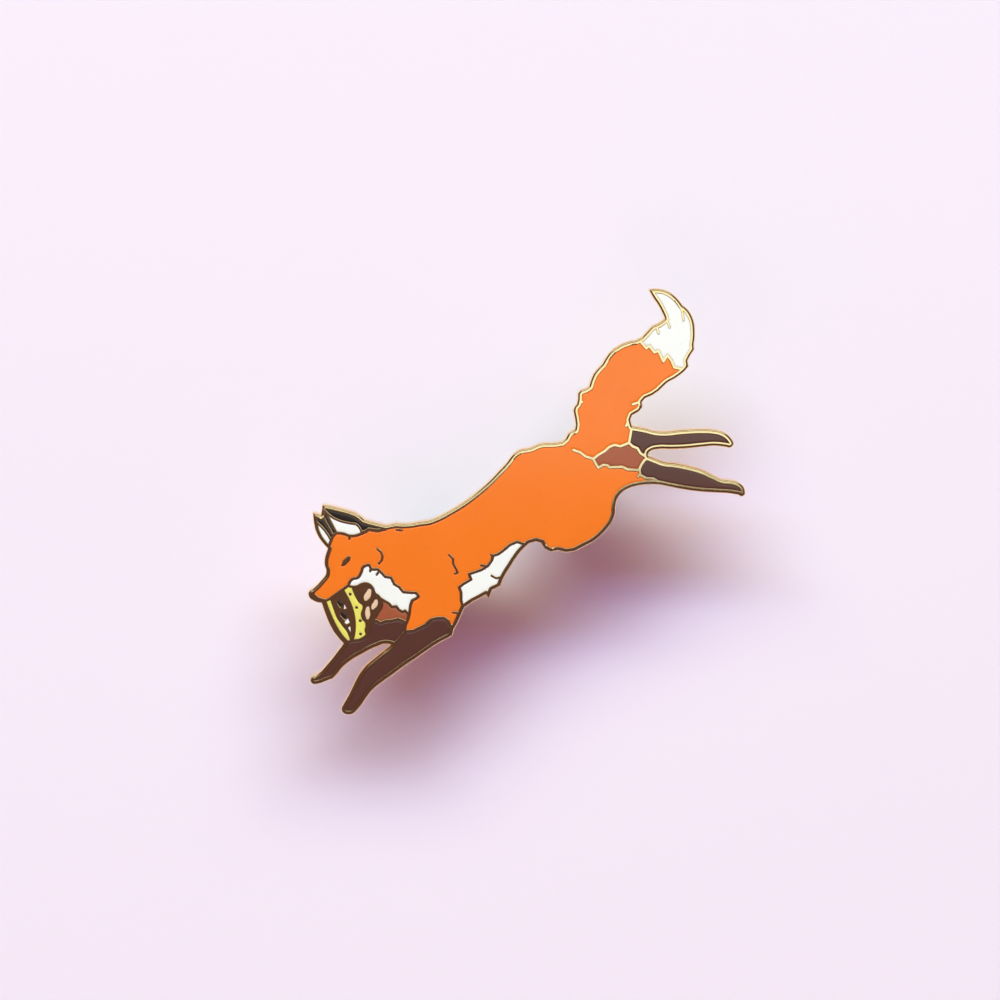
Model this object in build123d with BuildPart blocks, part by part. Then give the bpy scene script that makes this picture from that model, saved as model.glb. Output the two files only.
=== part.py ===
from build123d import *
import os
from math import sqrt

# A leaping fox brooch in cloisonne enamel: a plated metal plate with raised lines and two posts
# on its back, an enamel inlay in each cell between the lines, and a rubber clutch on each post.
#
# All sizes are millimetres. The figure is drawn on a sheet whose corner is the lower left of the
# figure, X to the right and Y up, as the brooch is seen from the front. The finished pieces stand
# so that the origin is under the middle of the brooch, on the surface that it rests on.

# Plate and enamel
PLATE_THICKNESS = 1.5
RIM_WIDTH = 0.35
LINE_WIDTH = 0.28
STROKE_WIDTH = 0.22
CELL_DEPTH = 0.55
CUT_OVER = 0.2
ENAMEL_BELOW_LINES = 0.03
INLAY_GAP = 0.015

# Rubber clutches, which are also the feet that the brooch lies on
CLUTCH_HEIGHT = 6.0
CLUTCH_FLANGE_RADIUS = 4.5
CLUTCH_FLANGE_THICKNESS = 1.6
CLUTCH_FOOT_RADIUS = 3.6
CLUTCH_FOOT_THICKNESS = 1.5
CLUTCH_WAIST_RADIUS = 2.9
CLUTCH_WAIST_SLOPE = 0.6
CLUTCH_EDGE_ROUND = 0.4
CLUTCH_FLOOR = 0.9

# Posts soldered to the back of the plate. A coat's cloth lies between the plate and the clutch.
CLOTH_GAP = 2.4
POST_RADIUS = 0.58
POST_NECK_RADIUS = 0.44
POST_NECK_LENGTH = 0.6
POST_TIP_RADIUS = 0.12
POST_TIP_LENGTH = 1.3
POST_TIP_CLEARANCE = 0.3
POST_HOLE_GAP = 0.02
SOLDER_RADIUS = 1.5
SOLDER_THICKNESS = 0.25
SOLDER_RIM_THICKNESS = 0.08
POST_ROOT_DEPTH = 0.3
FRONT_POST = (12.6, 14.6)
REAR_POST = (27.2, 22.6)

BACK_Z = CLUTCH_HEIGHT + CLOTH_GAP
FRONT_Z = BACK_Z + PLATE_THICKNESS
CELL_FLOOR_Z = FRONT_Z - CELL_DEPTH
POST_TIP_Z = CLUTCH_FLOOR + POST_TIP_CLEARANCE

# A smooth line is a chain of arcs through its points. A fur line is straight strokes between them.
SMOOTH = "smooth"
FUR = "fur"
# An arc that turns less than this, as a sine, is drawn straight.
STRAIGHT = 0.002

# The plate's outline, clockwise from the tip of the tail. Each stretch starts where the last one
# ended.
# columns: name, kind, points (right, up)
OUTLINE = (
    ("tail tip, outer side", SMOOTH,
     ((34.8, 42.85), (35.7, 42.9), (36.7, 42.6), (37.4, 42.05), (38.0, 41.3))),
    ("tail tip, tuft", SMOOTH,
     ((38.0, 41.3), (38.6, 40.8), (39.0, 40.1), (39.25, 38.6), (39.15, 37.5))),
    ("tail, outer fur", FUR,
     ((39.15, 37.5), (39.2, 37.0), (38.8, 36.4), (38.55, 35.9), (38.65, 35.3), (38.2, 34.8))),
    ("tail, outer side", SMOOTH,
     ((38.2, 34.8), (37.4, 34.2), (36.6, 33.75), (36.0, 33.2), (35.7, 32.9))),
    ("tail, under fur", FUR,
     ((35.7, 32.9), (35.1, 32.5), (34.4, 32.2), (34.05, 31.8), (34.1, 31.3), (33.8, 30.9),
      (33.1, 30.5), (32.9, 30.0), (33.1, 29.3))),
    ("far hind leg, top", SMOOTH,
     ((33.1, 29.3), (34.5, 29.05), (35.5, 28.8), (36.5, 28.75), (38.0, 28.9), (40.0, 29.0),
      (41.2, 28.95), (42.1, 28.75), (42.8, 28.3), (43.2, 27.75))),
    ("far hind paw", SMOOTH, ((43.2, 27.75), (43.15, 27.4), (42.7, 27.3))),
    ("far hind leg, under", SMOOTH,
     ((42.7, 27.3), (41.5, 27.45), (40.0, 27.35), (38.5, 27.2), (37.0, 27.15), (35.8, 27.15),
      (35.1, 27.0), (34.75, 26.7), (34.75, 26.3))),
    ("near hind leg, top", SMOOTH,
     ((34.75, 26.3), (35.5, 26.0), (36.3, 25.7), (37.5, 25.55), (39.0, 25.25), (40.3, 24.85),
      (41.3, 24.35), (42.2, 23.95), (43.1, 23.85), (43.8, 23.65), (44.3, 23.2), (44.45, 22.6))),
    ("near hind paw", SMOOTH, ((44.45, 22.6), (44.3, 22.4), (43.9, 22.5))),
    ("near hind leg, under", SMOOTH,
     ((43.9, 22.5), (43.0, 22.65), (41.5, 22.75), (40.0, 22.85), (38.5, 23.05), (37.2, 23.3),
      (36.0, 23.55))),
    ("haunch", SMOOTH,
     ((36.0, 23.55), (34.0, 23.5), (33.0, 23.25), (32.2, 22.8), (31.7, 22.15), (31.5, 21.4),
      (31.45, 20.6), (31.1, 19.7), (30.4, 18.8), (29.4, 17.9), (28.4, 17.35), (27.4, 16.85))),
    ("haunch fur", FUR,
     ((27.4, 16.85), (26.6, 16.75), (25.8, 16.95), (25.1, 16.8), (24.5, 17.1), (24.15, 17.7),
      (23.6, 17.85), (22.9, 17.65))),
    ("belly", SMOOTH,
     ((22.9, 17.65), (22.1, 16.9), (21.5, 16.1), (21.0, 15.3), (20.5, 14.5), (20.2, 13.9))),
    ("belly fur", FUR,
     ((20.2, 13.9), (20.0, 13.35), (19.2, 12.95), (19.05, 12.6), (18.9, 12.1), (18.6, 12.5),
      (18.0, 12.15), (17.3, 11.8), (16.8, 11.45), (16.4, 11.2))),
    ("chest", FUR,
     ((16.4, 11.2), (16.0, 10.3), (15.7, 9.6), (15.3, 8.9), (15.15, 8.3), (14.7, 8.05))),
    ("near foreleg, under", SMOOTH,
     ((14.7, 8.05), (13.5, 7.4), (12.5, 6.7), (11.5, 6.0), (10.3, 5.2), (9.3, 4.45), (8.4, 3.8),
      (7.6, 3.2), (7.0, 2.65), (6.5, 2.0), (6.0, 1.25), (5.4, 0.55))),
    ("near forepaw", SMOOTH, ((5.4, 0.55), (4.7, 0.25), (4.15, 0.5), (4.1, 1.0))),
    ("near foreleg, top", SMOOTH,
     ((4.1, 1.0), (4.45, 1.6), (4.8, 2.2), (5.15, 2.9), (5.5, 3.6), (5.95, 4.4), (6.5, 5.1),
      (7.3, 5.8), (8.1, 6.45), (8.8, 7.0), (9.15, 7.4))),
    ("far foreleg, under", SMOOTH,
     ((9.15, 7.4), (8.3, 7.5), (7.6, 7.25), (6.9, 6.95), (6.1, 6.5), (5.3, 6.05), (4.6, 5.55),
      (4.0, 5.0), (3.5, 4.35), (3.1, 3.95))),
    ("far forepaw, under", SMOOTH, ((3.1, 3.95), (2.4, 3.68), (1.8, 3.45), (1.35, 3.38))),
    ("far forepaw", SMOOTH, ((1.35, 3.38), (1.02, 3.55), (0.98, 3.85), (1.35, 4.15))),
    ("far foreleg, top", SMOOTH,
     ((1.35, 4.15), (1.9, 4.5), (2.5, 5.15), (3.1, 5.85), (3.75, 6.7), (4.35, 7.5))),
    ("egg", SMOOTH,
     ((4.35, 7.5), (3.8, 8.1), (3.3, 8.8), (2.85, 9.7), (2.5, 10.6), (2.15, 11.7))),
    ("nose", SMOOTH, ((2.15, 11.7), (1.4, 11.85), (0.9, 12.3), (0.88, 12.7), (1.2, 12.95))),
    ("muzzle and brow", SMOOTH,
     ((1.2, 12.95), (1.7, 13.4), (2.2, 13.95), (2.6, 14.5), (2.65, 14.95), (2.5, 15.5),
      (2.5, 15.95), (2.65, 16.6), (2.85, 17.15))),
    ("far ear, outer side", SMOOTH,
     ((2.85, 17.15), (2.35, 17.7), (1.9, 18.35), (1.6, 19.1), (1.45, 19.9), (1.4, 20.7))),
    ("between the ears", FUR, ((1.4, 20.7), (2.2, 20.4), (2.35, 21.5))),
    ("near ear, top", SMOOTH,
     ((2.35, 21.5), (3.1, 21.35), (4.1, 21.1), (5.0, 20.85), (5.8, 20.5), (6.4, 20.0))),
    ("nape", FUR,
     ((6.4, 20.0), (7.0, 19.8), (7.8, 19.6), (8.6, 19.4), (9.6, 19.6), (10.4, 19.55))),
    ("back", SMOOTH,
     ((10.4, 19.55), (11.2, 19.6), (12.0, 19.75), (12.8, 19.85), (14.0, 20.3), (15.0, 20.85),
      (16.0, 21.45), (17.0, 22.15), (18.0, 22.95), (19.0, 23.85), (20.0, 24.9), (20.7, 25.65),
      (21.1, 26.2))),
    ("rump", SMOOTH,
     ((21.1, 26.2), (22.0, 26.95), (23.0, 27.15), (24.0, 27.55), (25.5, 27.65), (26.2, 27.75))),
    ("tail root fur", FUR,
     ((26.2, 27.75), (26.6, 28.1), (26.85, 28.6), (27.15, 28.85), (27.5, 28.95), (27.6, 29.5),
      (27.5, 30.2), (27.35, 30.9), (27.45, 31.25), (27.7, 31.55), (27.8, 32.1), (27.8, 32.6),
      (28.05, 32.9), (28.5, 33.05), (28.9, 33.3))),
    ("tail, upper fur", FUR,
     ((28.9, 33.3), (29.05, 33.85), (29.35, 34.55), (29.8, 35.1), (30.2, 35.5), (30.5, 36.05),
      (30.85, 36.55), (31.3, 37.0), (32.15, 37.5), (32.9, 37.75), (33.5, 37.85), (34.1, 38.15),
      (34.6, 38.7), (35.1, 39.25), (35.7, 39.5), (36.4, 40.0))),
    ("tail tip, inner side", SMOOTH,
     ((36.4, 40.0), (36.05, 40.8), (35.65, 41.5), (35.2, 42.15), (34.8, 42.85))),
)

# The raised lines that part the cells, and the strokes of fur that end inside a cell.
# columns: name, kind, width, points (right, up)
LINES = (
    ("tail tip border", FUR, LINE_WIDTH,
     ((33.9, 37.8), (34.5, 37.1), (34.8, 37.35), (35.3, 36.7), (35.7, 36.85), (36.2, 35.8),
      (36.6, 36.4), (37.0, 35.9), (37.3, 35.2), (38.3, 35.0))),
    ("tail tip strand", SMOOTH, STROKE_WIDTH, ((37.6, 41.7), (38.0, 40.8), (38.15, 39.9))),
    ("tail tip stroke, upper", FUR, STROKE_WIDTH, ((36.4, 40.0), (36.65, 39.6), (36.8, 39.2))),
    ("tail tip stroke, lower", FUR, STROKE_WIDTH, ((35.5, 39.3), (35.7, 38.6))),
    ("tail stroke, left", FUR, LINE_WIDTH, ((27.6, 31.4), (28.15, 31.8))),
    ("tail stroke, right", FUR, LINE_WIDTH, ((34.0, 31.8), (33.2, 31.55))),
    ("tail stroke, low", FUR, LINE_WIDTH, ((32.9, 30.1), (32.55, 29.4))),
    ("tail and far leg", SMOOTH, LINE_WIDTH, ((33.1, 29.3), (33.0, 28.6), (32.85, 27.7))),
    ("tail and back stroke", FUR, LINE_WIDTH,
     ((27.3, 27.0), (28.0, 26.75), (28.5, 26.35), (29.3, 26.1))),
    ("far thigh, upper side", FUR, LINE_WIDTH,
     ((29.3, 26.1), (29.8, 26.5), (30.4, 26.85), (30.9, 27.3), (31.4, 27.5), (32.0, 27.35),
      (32.85, 27.7))),
    ("far thigh and far leg", FUR, LINE_WIDTH,
     ((32.85, 27.7), (33.2, 27.35), (33.7, 27.15), (34.0, 26.65), (34.7, 26.2))),
    ("far thigh, under side", FUR, LINE_WIDTH,
     ((29.3, 26.1), (29.6, 25.5), (29.8, 25.2), (30.3, 25.5), (30.7, 25.45), (30.9, 25.25),
      (32.2, 25.3), (32.7, 25.05), (33.9, 24.95))),
    ("far thigh and near leg", SMOOTH, LINE_WIDTH, ((33.9, 24.95), (34.15, 25.6), (34.7, 26.2))),
    ("haunch stroke", FUR, STROKE_WIDTH, ((33.95, 24.6), (33.75, 24.25))),
    ("near leg and haunch", FUR, LINE_WIDTH,
     ((33.9, 24.95), (34.0, 24.45), (34.6, 24.15), (35.3, 24.1), (36.1, 23.6))),
    ("ruff, upper side", SMOOTH, LINE_WIDTH,
     ((4.85, 13.45), (5.2, 14.05), (5.8, 14.25), (6.1, 14.7), (6.35, 15.3), (6.9, 15.5))),
    ("ruff, fur side", FUR, LINE_WIDTH,
     ((6.9, 15.5), (7.15, 15.05), (7.8, 15.05), (8.2, 14.65), (8.5, 14.3), (9.1, 14.2),
      (9.4, 13.55), (9.9, 13.25), (10.3, 12.75), (10.8, 12.7), (11.6, 12.65), (11.85, 12.3),
      (11.6, 12.1), (11.2, 11.9))),
    ("ruff stroke, upper", FUR, STROKE_WIDTH, ((7.05, 15.2), (7.0, 14.85))),
    ("ruff stroke, middle", FUR, STROKE_WIDTH, ((7.95, 14.95), (7.65, 14.5))),
    ("ruff, right side", SMOOTH, LINE_WIDTH,
     ((11.2, 11.9), (11.0, 11.3), (10.9, 10.5), (10.7, 9.8), (10.5, 9.3), (10.5, 8.75))),
    ("ruff, under side", FUR, LINE_WIDTH,
     ((7.55, 12.5), (8.1, 12.05), (8.5, 11.8), (8.85, 11.6), (9.15, 11.25), (9.6, 11.3),
      (9.85, 10.95), (10.2, 10.75), (10.5, 10.85), (10.85, 10.5))),
    ("egg, upper side", SMOOTH, LINE_WIDTH,
     ((4.85, 13.4), (5.3, 13.28), (5.75, 13.35), (6.15, 13.55), (6.55, 13.62), (6.95, 13.5),
      (7.25, 13.15), (7.4, 12.75), (7.55, 12.5))),
    ("jaw", SMOOTH, LINE_WIDTH,
     ((2.1, 11.85), (2.8, 12.0), (3.4, 12.4), (4.1, 12.9), (4.85, 13.45))),
    ("nose", SMOOTH, 0.45, ((1.2, 13.0), (1.25, 12.55), (1.6, 12.15), (2.2, 11.9))),
    ("egg, right side", SMOOTH, 0.34,
     ((7.55, 12.5), (8.05, 11.95), (8.1, 11.35), (7.75, 10.7), (7.4, 10.1), (7.05, 9.6))),
    ("egg and far leg", SMOOTH, LINE_WIDTH,
     ((4.3, 7.55), (5.1, 7.8), (6.0, 7.95), (6.6, 8.35), (6.85, 8.9), (7.05, 9.6))),
    ("egg, left side", SMOOTH, 0.56,
     ((2.35, 11.8), (2.7, 10.8), (3.05, 9.95), (3.5, 9.05), (4.05, 8.2), (4.5, 7.7))),
    ("egg crescent", SMOOTH, STROKE_WIDTH,
     ((3.1, 12.0), (3.42, 11.0), (3.75, 10.15), (4.25, 9.4), (4.75, 8.7), (5.02, 7.9))),
    ("egg, middle line", SMOOTH, 0.36,
     ((4.2, 12.95), (4.7, 12.1), (5.1, 11.1), (5.32, 10.0), (5.35, 9.0), (5.15, 7.9))),
    ("egg, scalloped line", SMOOTH, STROKE_WIDTH,
     ((5.25, 13.25), (5.55, 12.4), (5.9, 11.8), (6.3, 11.4), (6.3, 11.0), (6.15, 10.55),
      (6.25, 10.05), (6.55, 9.7), (6.6, 9.25), (6.5, 8.85), (6.7, 8.45))),
    ("far shoulder and far leg", FUR, LINE_WIDTH,
     ((7.05, 9.6), (7.6, 9.85), (8.0, 9.6), (8.5, 9.8), (9.1, 9.85), (9.8, 10.0), (10.6, 9.65))),
    ("near leg fur", FUR, LINE_WIDTH,
     ((10.5, 8.75), (11.3, 8.8), (12.0, 9.15), (12.5, 9.4), (12.8, 9.7), (13.1, 9.95),
      (13.7, 10.1), (14.4, 10.1), (14.8, 9.8), (15.0, 9.35), (15.4, 9.0))),
    ("forelegs", SMOOTH, LINE_WIDTH, ((10.5, 8.75), (10.2, 8.4), (9.8, 7.9), (9.15, 7.4))),
    ("belly patch", FUR, LINE_WIDTH,
     ((22.6, 17.5), (21.7, 17.8), (21.0, 17.5), (20.3, 16.9), (19.8, 16.55), (19.3, 16.4),
      (19.2, 15.95), (18.8, 15.4), (18.2, 15.0), (17.5, 14.75), (16.9, 14.55), (17.1, 14.0),
      (16.4, 13.6), (15.9, 13.2), (16.1, 12.7), (16.1, 11.9), (16.3, 11.2))),
    ("belly stroke, upper", FUR, STROKE_WIDTH, ((19.3, 16.4), (19.1, 16.5))),
    ("belly stroke, middle", FUR, STROKE_WIDTH, ((18.7, 15.35), (18.1, 15.45))),
    ("belly stroke, inner", FUR, STROKE_WIDTH, ((20.2, 14.25), (19.6, 14.12), (19.15, 14.38))),
    ("chest stroke", FUR, STROKE_WIDTH, ((15.9, 10.6), (15.3, 10.65))),
    ("cheek mark", FUR, STROKE_WIDTH,
     ((7.75, 17.1), (8.1, 16.8), (8.25, 16.4), (8.2, 16.0), (7.9, 15.65))),
    ("shoulder mark", FUR, STROKE_WIDTH,
     ((14.9, 16.5), (15.3, 16.1), (15.3, 15.6), (15.6, 15.1), (15.75, 14.7), (15.5, 14.6))),
    ("nape mark", FUR, STROKE_WIDTH, ((9.7, 19.05), (10.2, 19.0))),
    ("brow stroke", FUR, STROKE_WIDTH, ((4.95, 18.5), (4.95, 18.15))),
    ("near ear, base", SMOOTH, LINE_WIDTH,
     ((3.7, 18.75), (4.4, 18.65), (5.0, 18.45), (5.7, 18.5), (6.2, 18.7))),
    ("brow, upper side", SMOOTH, LINE_WIDTH,
     ((2.85, 17.2), (3.1, 17.9), (3.4, 18.5), (3.7, 18.75))),
    ("near ear, inner line", SMOOTH, STROKE_WIDTH,
     ((2.55, 20.95), (3.2, 20.35), (4.0, 19.95), (5.0, 19.7), (5.7, 19.55), (6.05, 19.1),
      (6.2, 18.7))),
    ("near ear, front line", SMOOTH, STROKE_WIDTH, ((2.55, 20.95), (3.05, 20.0), (3.7, 18.75))),
    ("near ear, front edge", SMOOTH, STROKE_WIDTH,
     ((2.3, 20.9), (2.45, 20.2), (2.95, 19.2), (3.35, 18.4))),
    ("far ear, front line", SMOOTH, STROKE_WIDTH,
     ((1.7, 19.8), (2.4, 19.1), (2.95, 18.3), (3.15, 17.9))),
    ("nape line", FUR, 0.34,
     ((6.2, 18.7), (6.6, 18.9), (6.9, 19.1), (7.8, 18.95), (8.6, 19.15))),
)

# Marks of bare metal that stand free inside a cell: the eye, and the dots of the egg's band.
# columns: corners of the eye (right, up)
EYE = ((4.1, 15.35), (4.3, 15.95), (4.85, 16.45), (5.08, 16.35), (5.0, 15.95), (4.5, 15.45))
# columns: centre of each dot (right, up)
EGG_DOTS = ((5.0, 12.55), (5.62, 11.2), (5.98, 9.85), (6.0, 8.5))
EGG_DOT_RADIUS = 0.15

# The cells that are filled with enamel, each named by a point inside it. The rest is metal.
# columns: name of the piece, point (right, up)
CELLS = (
    ("enamel_body", (20.0, 20.0)),
    ("enamel_tail_tip", (37.5, 38.0)),
    ("enamel_ruff", (8.7, 12.9)),
    ("enamel_belly", (18.5, 14.0)),
    ("enamel_near_foreleg", (12.0, 8.0)),
    ("enamel_far_foreleg", (8.5, 8.8)),
    ("enamel_near_hind_leg", (38.0, 24.2)),
    ("enamel_far_hind_leg", (38.0, 28.0)),
    ("enamel_far_shoulder", (9.3, 10.6)),
    ("enamel_far_thigh", (31.5, 26.3)),
    ("enamel_near_ear_inside", (4.7, 19.2)),
    ("enamel_near_ear_tip", (5.0, 20.1)),
    ("enamel_near_ear_front", (2.95, 19.7)),
    ("enamel_far_ear_front", (2.45, 19.6)),
    ("enamel_far_ear_inside", (2.4, 18.6)),
    ("enamel_egg_crescent", (3.62, 10.0)),
    ("enamel_egg_band", (5.75, 10.5)),
)

# Small chips of enamel let into the broad metal of the egg.
# columns: name of the piece, kind, points (right, up)
CHIPS = (
    ("enamel_egg_diamond_upper", FUR, ((3.95, 12.05), (4.22, 11.5), (4.0, 11.15), (3.68, 11.65))),
    ("enamel_egg_diamond_lower", FUR, ((4.25, 10.9), (4.62, 10.3), (4.42, 9.9), (4.0, 10.4))),
    ("enamel_egg_chip_upper", FUR, ((4.4, 11.55), (4.6, 11.1), (4.35, 11.05))),
    ("enamel_egg_chip_middle", FUR, ((4.75, 10.1), (4.92, 9.65), (4.6, 9.5), (4.4, 9.7))),
    ("enamel_egg_chip_lower", FUR, ((4.98, 9.3), (5.02, 8.65), (4.75, 9.15))),
    ("enamel_egg_petal_upper", SMOOTH,
     ((6.95, 13.1), (7.1, 12.6), (6.85, 12.05), (6.5, 11.9), (6.35, 12.2), (6.6, 12.75))),
    ("enamel_egg_petal_right", SMOOTH,
     ((7.55, 12.0), (7.75, 11.5), (7.5, 11.15), (7.2, 11.0), (7.1, 11.3), (7.3, 11.7))),
    ("enamel_egg_petal_lower", SMOOTH,
     ((6.75, 11.3), (6.95, 10.8), (6.95, 10.3), (6.75, 10.0), (6.5, 10.35), (6.5, 10.9))),
)


def headings(points, closed):
    """Gives a curve's direction at each of its points, as a circle through three of them has it."""
    spots = [Vector(*point) for point in points]
    if closed:
        spots = [spots[-1], *spots, spots[0]]
    steps = [end - start for start, end in zip(spots, spots[1:])]
    middle_ways = [
        (before.normalized() * after.length + after.normalized() * before.length).normalized()
        for before, after in zip(steps, steps[1:])
    ]
    if closed:
        return middle_ways
    return [mirrored(middle_ways[0], steps[0]), *middle_ways, mirrored(middle_ways[-1], steps[-1])]


def mirrored(way, chord):
    """Gives the direction at the other end of an arc that has this direction at one end."""
    along = chord.normalized()
    return along * (2 * way.dot(along)) - way


def add_arc(start, end, way):
    """Adds the arc that leaves the start in this direction, or a stroke where it is straight."""
    if (end - start).normalized().cross(way).length < STRAIGHT:
        Line(start, end)
    else:
        TangentArc(start, end, tangent=way)


def add_bend(start, start_way, end, end_way):
    """Adds two arcs that meet smoothly, and have these directions where the bend starts and ends."""
    span = end - start
    turn = 2 * (1 - start_way.dot(end_way))
    run = span.dot(start_way + end_way)
    if turn < STRAIGHT ** 2:
        reach = span.dot(span) / (2 * run)
    else:
        reach = (sqrt(run ** 2 + turn * span.dot(span)) - run) / turn
    joint = (start + end + (start_way - end_way) * reach) / 2
    add_arc(start, joint, start_way)
    add_arc(joint, end, mirrored(start_way, joint - start))


def draw(kind, points, closed=False):
    """Adds the line through the points, as a chain of smooth arcs or as straight strokes."""
    if kind == FUR:
        Polyline(*points, close=closed)
        return
    ways = headings(points, closed)
    spots = [Vector(*point) for point in points]
    if closed:
        spots.append(spots[0])
        ways.append(ways[0])
    for start, start_way, end, end_way in zip(spots, ways, spots[1:], ways[1:]):
        add_bend(start, start_way, end, end_way)


def band(kind, points, width):
    """Gives the band of this width along a line, with round ends."""
    with BuildSketch(mode=Mode.PRIVATE) as sketch:
        with BuildLine():
            draw(kind, points)
            offset(amount=width / 2, kind=Kind.ARC, mode=Mode.REPLACE)
        make_face()
    return sketch.sketch


def patch(kind, points, growth):
    """Gives the closed shape through the points, grown or shrunk all round."""
    with BuildSketch(mode=Mode.PRIVATE) as sketch:
        with BuildLine():
            draw(kind, points, closed=True)
        make_face()
        if growth:
            offset(amount=growth, kind=Kind.ARC, mode=Mode.REPLACE)
    return sketch.sketch


def metal_between_cells(gap):
    """Gives the rim, the lines and the marks, each wider by the gap on both sides."""
    metal = [band(kind, points, 2 * (RIM_WIDTH + gap)) for _, kind, points in OUTLINE]
    metal += [band(kind, points, width + 2 * gap) for _, kind, width, points in LINES]
    metal.append(patch(FUR, EYE, gap))
    with BuildSketch(mode=Mode.PRIVATE) as dots:
        with Locations(*EGG_DOTS):
            Circle(EGG_DOT_RADIUS + gap)
    return metal + [dots.sketch]


def enamel_areas(gap):
    """Gives the area of each enamel piece by name, kept clear of the metal by the gap."""
    with BuildSketch(mode=Mode.PRIVATE) as cells:
        add(figure.sketch)
        add(metal_between_cells(gap), mode=Mode.SUBTRACT)
    areas = {}
    for name, point in CELLS:
        areas[name] = next(face for face in cells.faces() if face.is_inside(point))
    for name, kind, points in CHIPS:
        areas[name] = patch(kind, points, -gap)
    return areas


def sheet_at(height):
    """Gives the plane of the drawing at a height, with the figure's middle over the origin."""
    return Plane(origin=(-middle.X, -middle.Y, height))


def upright_at(place):
    """Gives the upright plane through a post, with its origin on the ground under the post."""
    ground = sheet_at(0).from_local_coords(place)
    return Plane(origin=ground, x_dir=(1, 0, 0), z_dir=(0, -1, 0))


# The figure as it is drawn, and its middle
with BuildSketch() as figure:
    with BuildLine():
        for _, kind, points in OUTLINE:
            draw(kind, points)
    make_face()
middle = figure.sketch.bounding_box().center()

# Plate: its outline cut through, its cells sunk from the front, its posts behind
with BuildPart() as metal_body:
    with BuildSketch(sheet_at(BACK_Z)):
        add(figure.sketch)
    extrude(amount=PLATE_THICKNESS)
    with BuildSketch(sheet_at(CELL_FLOOR_Z)):
        add(list(enamel_areas(0).values()))
    extrude(amount=CELL_DEPTH + CUT_OVER, mode=Mode.SUBTRACT)
    neck_z = POST_TIP_Z + POST_TIP_LENGTH
    for place in (FRONT_POST, REAR_POST):
        with BuildSketch(upright_at(place)) as post:
            with BuildLine():
                Polyline(
                    (0, BACK_Z + POST_ROOT_DEPTH),
                    (SOLDER_RADIUS, BACK_Z + POST_ROOT_DEPTH),
                    (SOLDER_RADIUS, BACK_Z - SOLDER_RIM_THICKNESS),
                    (POST_RADIUS, BACK_Z - SOLDER_THICKNESS),
                    (POST_RADIUS, neck_z + POST_NECK_LENGTH),
                    (POST_NECK_RADIUS, neck_z + POST_NECK_LENGTH / 2),
                    (POST_RADIUS, neck_z),
                    (POST_TIP_RADIUS, POST_TIP_Z),
                    (0, POST_TIP_Z),
                    close=True,
                )
            make_face()
        revolve(axis=Axis(post.workplanes[0].origin, (0, 0, 1)))
metal_body.part.label = "metal_body"

# Enamel: one inlay for each cell and chip
inlays = []
for name, area in enamel_areas(INLAY_GAP).items():
    with BuildPart() as inlay:
        with BuildSketch(sheet_at(CELL_FLOOR_Z + INLAY_GAP)):
            add(area)
        extrude(amount=CELL_DEPTH - INLAY_GAP - ENAMEL_BELOW_LINES)
    inlay.part.label = name
    inlays.append(inlay.part)


def turned_clutch(place):
    """Gives the rubber clutch on a post: a broad flange, a waist and a foot, turned in one."""
    flange_z = CLUTCH_HEIGHT - CLUTCH_FLANGE_THICKNESS
    with BuildPart() as clutch:
        with BuildSketch(upright_at(place)) as profile:
            with BuildLine():
                Polyline(
                    (0, 0),
                    (CLUTCH_FOOT_RADIUS, 0),
                    (CLUTCH_FOOT_RADIUS, CLUTCH_FOOT_THICKNESS),
                    (CLUTCH_WAIST_RADIUS, CLUTCH_FOOT_THICKNESS + CLUTCH_WAIST_SLOPE),
                    (CLUTCH_WAIST_RADIUS, flange_z - CLUTCH_WAIST_SLOPE),
                    (CLUTCH_FLANGE_RADIUS, flange_z),
                    (CLUTCH_FLANGE_RADIUS, CLUTCH_HEIGHT),
                    (0, CLUTCH_HEIGHT),
                    close=True,
                )
            make_face()
            outer_corners = profile.vertices().filter_by_position(
                Axis.X, CLUTCH_WAIST_RADIUS, CLUTCH_FLANGE_RADIUS
            )
            fillet(outer_corners, radius=CLUTCH_EDGE_ROUND)
        revolve(axis=Axis(profile.workplanes[0].origin, (0, 0, 1)))
        with Locations(sheet_at(CLUTCH_HEIGHT).from_local_coords(place)):
            Hole(radius=POST_RADIUS + POST_HOLE_GAP, depth=CLUTCH_HEIGHT - CLUTCH_FLOOR)
    return clutch.part


# Clutches: the same turned piece on each post
with BuildPart() as clutch_front:
    add(turned_clutch(FRONT_POST))
clutch_front.part.label = "clutch_front"

with BuildPart() as clutch_rear:
    add(turned_clutch(REAR_POST))
clutch_rear.part.label = "clutch_rear"

os.makedirs("parts", exist_ok=True)
for piece in [metal_body.part, *inlays, clutch_front.part, clutch_rear.part]:
    export_step(piece, f"parts/{piece.label}.step")
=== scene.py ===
"""A plated brooch of a leaping fox in hard enamel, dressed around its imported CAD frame.

The struck plate gets its rounded shoulder, fine-edged lines, grained back, posts and solder. Each
cell gets its inlay of polished enamel, and each post its moulded rubber clutch. The brooch lies
face up on a pale backing. A wide window past the top of the picture lights it, cooler above and
warmer below, and the room fills in from the near left. Flat gold mirrors a card overhead, where it
lies high enough in the picture, and is dark lower down.
"""

import sys

import logging
from dataclasses import dataclass, field
from enum import Enum
from math import atan2, ceil, cos, radians, sin, tau
from typing import Any

import bmesh
import bpy
import numpy as np
from mathutils import Matrix, Vector
from mathutils.bvhtree import BVHTree
from mathutils.geometry import delaunay_2d_cdt, intersect_line_line_2d


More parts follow.
